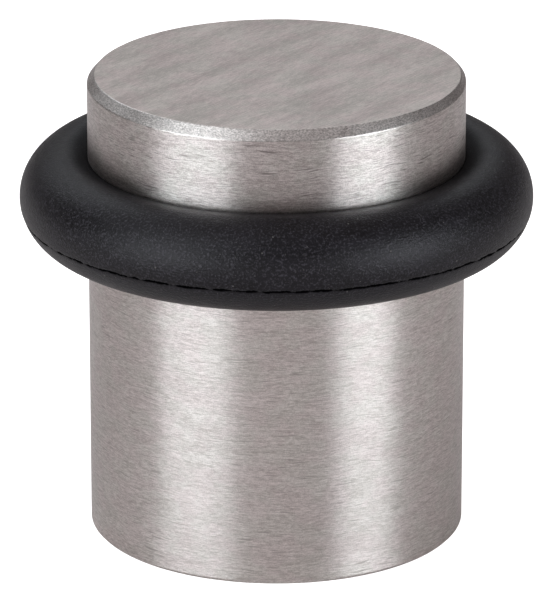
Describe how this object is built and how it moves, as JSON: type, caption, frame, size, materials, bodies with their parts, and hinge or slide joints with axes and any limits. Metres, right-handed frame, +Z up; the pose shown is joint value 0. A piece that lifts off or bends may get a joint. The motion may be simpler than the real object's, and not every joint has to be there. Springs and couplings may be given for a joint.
{
  "type": "floor door stop",
  "caption": "Solid round steel post with a black rubber ring in a groove near its top, screwed down onto a bolt and plug in the floor so that an opening door meets the ring.",
  "frame": {"origin": "centre of the post's base, on the finished floor", "axes": "+Z up along the axis of the post and bolt; the post is round, so X and Y are free, and the fins of the plug lie along X"},
  "size_m": [0.0544, 0.0544, 0.09],
  "materials": {
    "steel": "fine brushed stainless, satin",
    "rubber": "matte black moulded rubber",
    "zinc": "bright zinc plate",
    "nylon": "moulded grey nylon"
  },
  "bodies": {
    "fixing": {"wall_plug": "nylon", "hanger_bolt": "zinc"},
    "ring": {"buffer_ring": "rubber"},
    "post": {"stop_body": "steel"}
  },
  "joints": [
    {"name": "stop_lift", "type": "slide", "parent": "fixing", "child": "ring", "axis": [0, 0, 1], "range_m": [0, 0.01375]},
    {"name": "stop_turn", "type": "hinge", "parent": "ring", "child": "post", "pos_m": [0, 0, 0.025], "axis": [0, 0, 1], "range_deg": [0, 3960]}
  ],
  "couplings": [
    {"joint": "stop_lift", "follows": "stop_turn", "m_per_rad": 0.00019894}
  ]
}
